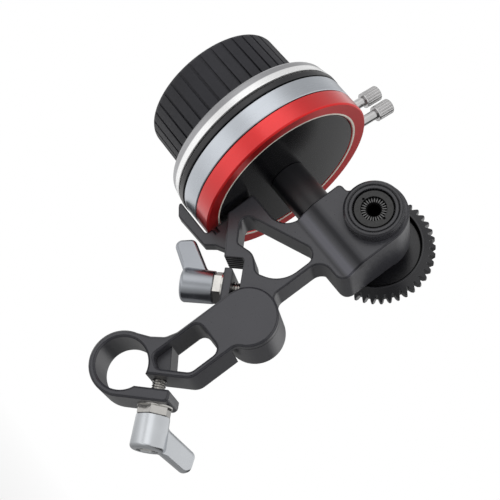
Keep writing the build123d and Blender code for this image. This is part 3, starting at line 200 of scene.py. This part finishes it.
def blasted(name, colour, rough, metallic=0.0, grain=0.5, edge=0.3, specular=0.5, painted_step=None):
    """Bead-blasted and anodised metal: fine grain, cloudy tone and a painted shade along its edges
    and creases.
    """
    s = Shader(name)
    fine = s.noise(2600, 3)
    base = s.mottle(s.noise(70, 3), colour, 0.9, 1.1)
    base = s.mix(s.spread(fine, 0.35, 0.65, 0, 0.35 * grain), base, tinted(colour, 1.35))
    # Painted shade along edges and creases, broken up by a noise; the specular level falls with
    # it.
    rim = s.times(s.edges(0.00045), s.spread(s.noise(400, 4), 0.35, 0.6, 0.8, 1.0))
    # On the gear box, the step's painted shade joins the edges' painted shade, and its crown gets
    # a painted highlight.
    if painted_step:
        dark, crown_highlight = painted_step(s)
        rim = s.larger(rim, dark)
        base = s.mix(crown_highlight, base, tinted(colour, 2.9))
    s.set(
        Base_Color=s.mix(rim, base, tinted(colour, edge)), Metallic=metallic,
        Roughness=s.vary(fine, rough - 0.05, rough + 0.06),
        Specular_IOR_Level=s.spread(rim, 0, 1, specular, 0.05),
    )
    s.bump(fine, 0.00002, 0.35 * grain, Normal=s.bevel(0.00018))
    return s.material


def wheel_shader(name):
    """For a piece turned about the wheel's axis: radius, place along it, and lines of the cut."""
    s = Shader(name)
    s.turned_tangent()
    radius, way = s.polar(WHEEL_AXIS, ALONG_X)
    return s, radius, way, s.lines(s.maths("ADD", radius, way))


def turned(name, colour, rough, metallic=0.0, grain=1.0):
    """A piece turned about the wheel's axis: fine lines of the cut round it."""
    s, _, _, cut = wheel_shader(name)
    fine = s.noise(3200, 2)
    base = s.mottle(s.noise(60), colour, 0.94, 1.06)
    s.set(
        Base_Color=s.mix(s.vary(fine, 0, 0.4 * grain), base, tinted(colour, 1.12)),
        Metallic=metallic, Roughness=s.spread(cut, 0.2, 0.8, rough - 0.04, rough + 0.04),
    )
    s.bump(s.mix(0.35, cut, fine), 0.00001, 0.2 * grain)
    return s.material


def red_anodised(name):
    """Red ring: satin metal under a clear oxide, with a bright cut edge round its inside."""
    s, radius, way, cut = wheel_shader(name)
    fine = s.noise(3200, 2)
    base = s.mix(s.vary(s.noise(55), 0, 1), (0.66, 0.008, 0.010, 1), (0.76, 0.014, 0.015, 1))
    base = s.mix(s.vary(fine, 0, 0.2), base, (0.85, 0.035, 0.035, 1))
    inner, outer = CREAM_RADII
    bright = s.times(s.times(s.over(radius, inner), s.under(radius, outer)), s.over(way, CREAM_X))
    s.set(
        Base_Color=s.mix(bright, base, (0.9, 0.84, 0.74, 1)),
        Metallic=s.spread(bright, 0, 1, 0.75, 0.2),
        Roughness=s.spread(bright, 0, 1, 0.32, 0.25),
        Coat_Weight=s.spread(way, *RED_FACE_X, 1.0, 0.15), Coat_Roughness=0.18,
    )
    s.bump(s.mix(0.35, cut, fine), 0.00001, 0.15)
    return s.material


def bright_cut(name):
    """Bright marking ring: polished round its edge, with a painted shade towards the knob."""
    s, _, way, cut = wheel_shader(name)
    # Painted shade: darker grey on the knob's side, where its rounded slope faces away from the
    # light.
    knob_side_shade = s.spread(way, *MARKING_SHADE_X, 1.0, 0.0)
    s.set(
        Base_Color=s.mix(knob_side_shade, shade(0.90), (0.34, 0.34, 0.35, 1)), Metallic=0.65,
        Roughness=s.spread(cut, 0.2, 0.8, 0.22, 0.28),
    )
    s.bump(cut, 0.00001, 0.05)
    return s.material


def rubber(name, colour, rough):
    """Dull rubber, with a little dust on its edges."""
    s = Shader(name)
    fine = s.noise(1800, 4)
    base = s.mottle(s.noise(90, 3), colour, 0.85, 1.15)
    dust = s.times(s.edges(0.0003, 0.85, 0.98), s.spread(s.noise(700, 4), 0.4, 0.65, 0, 0.5))
    s.set(
        Base_Color=s.mix(dust, base, tinted(colour, 2.0)), Specular_IOR_Level=0.4,
        Roughness=s.vary(fine, rough - 0.06, rough + 0.08),
    )
    s.bump(fine, 0.00003, 0.4, Normal=s.bevel(0.00025))
    return s.material


def moulded(name, colour, rough):
    """Moulded gear plastic: slightly mottled, with painted highlights on its edges and a painted
    shade in the angle inside the rim.
    """
    s = Shader(name)
    radius, _ = s.polar(SPINDLE_AXIS, ALONG_Y)
    corner_shade = s.band(radius, *GEAR_CORNER_SHADE)
    base = s.mottle(s.noise(150, 3), colour, 0.9, 1.15)
    # Painted highlights on the edges; below, a painted shade in the angle inside the rim.
    base = s.mix(s.edges(0.0002), base, tinted(colour, 5.0))
    s.set(
        Base_Color=s.mix(corner_shade, base, tinted(colour, 0.1)),
        Roughness=s.vary(s.noise(300, 2), rough - 0.02, rough + 0.03),
        Specular_IOR_Level=s.spread(corner_shade, 0, 1, 0.5, 0.02), Normal=s.bevel(0.0002),
    )
    return s.material


def satin(name, colour, rough, edge):
    """Lever metal: an even satin with a painted shade on its edges and a barely visible grain."""
    s = Shader(name)
    fine = s.noise(5000, 2)
    base = s.mottle(s.noise(120, 2), colour, 0.95, 1.04)
    # Painted shade darkens the edges.
    s.set(
        Base_Color=s.mix(s.edges(0.0003), base, tinted(colour, edge)), Metallic=1.0,
        Roughness=s.vary(fine, rough - 0.01, rough + 0.02),
    )
    s.bump(fine, 0.000005, 0.05)
    return s.material


def socket_steel(name):
    """Blackened steel of the port's socket: lighter tooth tips over a bottom blackened by painted
    shade.
    """
    s = Shader(name)
    radius, way = s.polar(SPINDLE_AXIS, ALONG_Y)
    fine = s.noise(1500, 3)
    recess = s.times(s.under(radius, SOCKET_RADIUS), s.under(way, SOCKET_END_Y))
    # Painted shade: the socket turns black towards its bottom.
    deep_shade = s.times(s.spread(way, *SOCKET_SHADE_Y, 0.0, 1.0), recess)
    tips = s.times(s.band(radius, *SOCKET_TEETH), s.over(way, SOCKET_TIPS_Y))
    base = s.mix(s.vary(fine, 0, 1), shade(0.036), shade(0.050))
    base = s.mix(tips, base, shade(0.11))
    s.set(
        Base_Color=s.mix(deep_shade, base, shade(0.001)), Metallic=s.spread(deep_shade, 0, 1, 0.9, 0.0),
        Roughness=s.vary(fine, 0.24, 0.34),
        Specular_IOR_Level=s.spread(deep_shade, 0, 1, 0.5, 0.05),
    )
    s.bump(fine, 0.00001, 0.1, Normal=s.bevel(0.0001))
    return s.material


def plated(name, colour, rough, scratch=1.0, edge=0.8):
    """Plated or ground steel: fine scratches in two ways, a little tarnish and darker edges."""
    s = Shader(name)
    scratches = s.mix(0.5, s.noise(900, 2, (1, 1, 9)), s.noise(900, 2, (9, 1, 1)))
    base = s.mottle(s.noise(220, 3), colour, 0.86, 1.06)
    s.set(
        Base_Color=s.mix(s.edges(0.0003, 0.86, 0.98), base, tinted(colour, edge)), Metallic=1.0,
        Roughness=s.vary(scratches, rough - 0.06, rough + 0.08),
    )
    s.bump(scratches, 0.00001, 0.25 * scratch, Normal=s.bevel(0.0001))
    return s.material


# Each look's maker and settings. A material slot takes the look of its own name.
ANODISED = dict(colour=(0.030, 0.030, 0.036), rough=0.32, edge=0.12, specular=0.6)
recipes = {
    "black_anodised": (blasted, ANODISED),
    "black_disc": (turned, dict(colour=(0.004, 0.004, 0.005), rough=0.19, grain=0.6)),
    "black_ring": (turned, dict(colour=(0.014, 0.014, 0.016), rough=0.26, grain=0.8)),
    "bright_ring": (bright_cut, {}),
    "grey_ring": (turned, dict(colour=(0.54, 0.57, 0.61), rough=0.30, metallic=0.95, grain=0.7)),
    "red_ring": (red_anodised, {}),
    "grip_rubber": (rubber, dict(colour=(0.012, 0.012, 0.016), rough=0.55)),
    "cord_rubber": (rubber, dict(colour=(0.02, 0.02, 0.02), rough=0.6)),
    "gear_plastic": (moulded, dict(colour=(0.010, 0.010, 0.012), rough=0.24)),
    "lever_metal": (satin, dict(colour=(0.60, 0.62, 0.645), rough=0.25, edge=0.4)),
    "pivot_lever_metal": (satin, dict(colour=(0.33, 0.345, 0.37), rough=0.25, edge=0.4)),
    "nickel": (plated, dict(colour=(0.60, 0.585, 0.56), rough=0.12, scratch=0.2, edge=0.4)),
    "steel": (plated, dict(colour=(0.60, 0.60, 0.61), rough=0.28)),
    "thumb_steel": (plated, dict(colour=(0.64, 0.63, 0.63), rough=0.18, scratch=0.5, edge=0.2)),
    "dark_steel": (plated, dict(colour=(0.045, 0.045, 0.05), rough=0.28)),
    "tube_black": (turned, dict(colour=(0.008, 0.008, 0.010), rough=0.32, grain=0.4)),
    "port_black": (blasted, dict(colour=(0.025, 0.025, 0.029), rough=0.26, grain=0.1, edge=0.05)),
    "socket_steel": (socket_steel, {}),
    "body_black": (blasted, dict(ANODISED, painted_step=painted_box_step)),
    "bare_aluminium": (
        blasted, dict(colour=(0.62, 0.63, 0.65), rough=0.4, metallic=0.9, grain=0.6, edge=0.7)
    ),
    "gear_brass": (plated, dict(colour=(0.72, 0.52, 0.24), rough=0.3)),
}
looks = {name: make(name, **settings) for name, (make, settings) in recipes.items()}

# Pieces that look unlike the others of their material slot.
own_looks = {
    "body_frame": "body_black", "shaft_tube": "tube_black", "drive_spindle": "socket_steel",
    "pivot_lever": "pivot_lever_metal", "port_bezel": "port_black", "port_ring": "port_black",
}
for part in frame["record"]["subparts"]:
    piece = nodes[part["node"]]
    piece.data.materials.clear()
    piece.data.materials.append(looks[own_looks.get(part["node"], part["material_slot"])])


# ---- floor -----------------------------------------------------------------
FLOOR_Z = -0.060
FOOT = (-0.02, 0.0, 0.0)   # the place on the floor under the object's middle

bpy.ops.mesh.primitive_plane_add(size=8.0, location=(0, 0, FLOOR_Z))
floor = bpy.context.object
floor.name = "floor"
paper = Shader("floor_paper")
paper.set(Base_Color=shade(0.7), Roughness=0.9, Specular_IOR_Level=0.1)
rays = paper.add("ShaderNodeLightPath").outputs
shown = paper.larger(rays["Is Camera Ray"], rays["Is Glossy Ray"])
shown = paper.larger(shown, rays["Is Transmission Ray"])
# Seen, the paper glows white. Only near the object's foot does its matt surface show through.
away = paper.vector("LENGTH", paper.vector("SUBTRACT", paper.place, FOOT))
white = paper.spread(away, 0.04, 0.20, 0.72, 1.0)
# Mirrored, it is bright towards the picture's top and dark towards its bottom, and dimmer both
# right under the object and far from it.
lower = paper.vector("DOT_PRODUCT", paper.place, (0.896, 0.444, 0.0))
gloss = paper.spread(lower, -0.07, 0.03, 1.25, 0.33)
near = paper.spread(away, 0.05, 0.11, 0.65, 1.0)
far = paper.spread(away, 0.18, 0.34, 1.0, 0.62)
gloss = paper.times(gloss, paper.times(near, far))
level = paper.either(rays["Is Glossy Ray"], 1.0, gloss)
glow = paper.add("ShaderNodeEmission", Color=shade(1.0), Strength=level).outputs[0]
surface = paper.add(
    "ShaderNodeMixShader", i0=paper.times(shown, white), i1=paper.bsdf.outputs[0], i2=glow
).outputs[0]
paper.feed(paper.tree.nodes["Material Output"].inputs["Surface"], surface)
floor.data.materials.append(paper.material)


# ---- light -----------------------------------------------------------------
class Sky(Shader):
    """The world's node tree, built with the same helpers."""

    def __init__(self, tree):
        self.tree = tree
        self.place = self.add("ShaderNodeTexCoord").outputs["Generated"]

    def towards(self, direction, low, high, out_low, out_high):
        """A number that changes with how far a ray goes towards a direction."""
        along = self.vector("DOT_PRODUCT", self.place, direction)
        return self.spread(along, low, high, out_low, out_high)


world = bpy.data.worlds.new("studio")
scene.world = world
world.use_nodes = True
sky = Sky(world.node_tree)
# Matt surfaces are lit by a soft sky, brighter on the near side.
soft = sky.towards(Vector((-0.45, -0.75, 0.45)).normalized(), -0.6, 0.9, 0.35, 0.90)
# Glossy ones mirror a tent that is dimmer overhead and ends in a dark ground and a dark card
# behind the object, as the gradient on the wheel's disc and the dark outlines of the round
# parts show. It is brightest behind the camera, towards the picture's top.
overhead = sky.towards(Vector((-0.30, -0.10, 0.95)).normalized(), 0.62, 0.93, 0.90, 0.54)
facing = sky.towards(Vector((-0.37, -0.90, 0.22)).normalized(), 0.80, 0.96, 0.0, 0.45)
ground = sky.towards((-0.723, -0.359, 0.591), -0.52, -0.43, 0.03, 1.0)
card = sky.towards((-0.36866, 0.92311, 0.10934), 0.82, 0.95, 1.0, 0.28)
mirrored = sky.times(sky.maths("ADD", overhead, facing), sky.times(ground, card))
rays = sky.add("ShaderNodeLightPath").outputs
strength = sky.either(rays["Is Glossy Ray"], soft, mirrored)
seen = sky.larger(rays["Is Camera Ray"], rays["Is Transmission Ray"])
background = sky.tree.nodes["Background"]
sky.feed(background.inputs["Color"], shade(1.0))
sky.feed(background.inputs["Strength"], sky.either(seen, strength, 1.0))

MIDDLE = Vector((-0.02, 0.002, 0.05))   # of the object


def lamp(name, direction, distance, size, power):
    """Soft rectangular lamp that faces the object's middle; gloss shows only the tent."""
    data = bpy.data.lights.new(name, "AREA")
    data.shape = "RECTANGLE"
    data.size, data.size_y = size
    data.energy = power
    made = bpy.data.objects.new(name, data)
    scene.collection.objects.link(made)
    direction = Vector(direction).normalized()
    made.location = MIDDLE + direction * distance
    made.rotation_mode = "QUATERNION"
    made.rotation_quaternion = (-direction).to_track_quat("-Z", "Y")
    made.visible_glossy = False


lamp("key", (-0.40, -0.86, 0.40), distance=0.90, size=(0.80, 0.60), power=2.6)
lamp("fill", (0.80, -0.45, 0.45), distance=0.90, size=(0.60, 0.60), power=1.2)
lamp("top", (0.10, 0.30, 1.00), distance=0.80, size=(0.60, 0.60), power=0.9)

# ---- camera ----------------------------------------------------------------
# Solved from the wheel's, the gear's and the clamp's circles in the photograph.
CAMERA_PLACE = (0.115728, -0.307014, 0.011731)
RIGHT = Vector((0.58468, 0.13883, 0.79930))   # the picture's own directions
DOWN = Vector((0.72267, 0.35859, -0.59090))
FORWARD = Vector((-0.36866, 0.92311, 0.10934))

camera = bpy.data.objects.new("camera", bpy.data.cameras.new("camera"))
scene.collection.objects.link(camera)
camera.data.lens = 83.46
camera.data.sensor_width = 36.0
camera.data.clip_start, camera.data.clip_end = 0.01, 20.0
turn = Matrix((RIGHT, -DOWN, -FORWARD)).transposed().to_4x4()
camera.matrix_world = Matrix.Translation(CAMERA_PLACE) @ turn
scene.camera = camera
scene.view_settings.view_transform = "Standard"
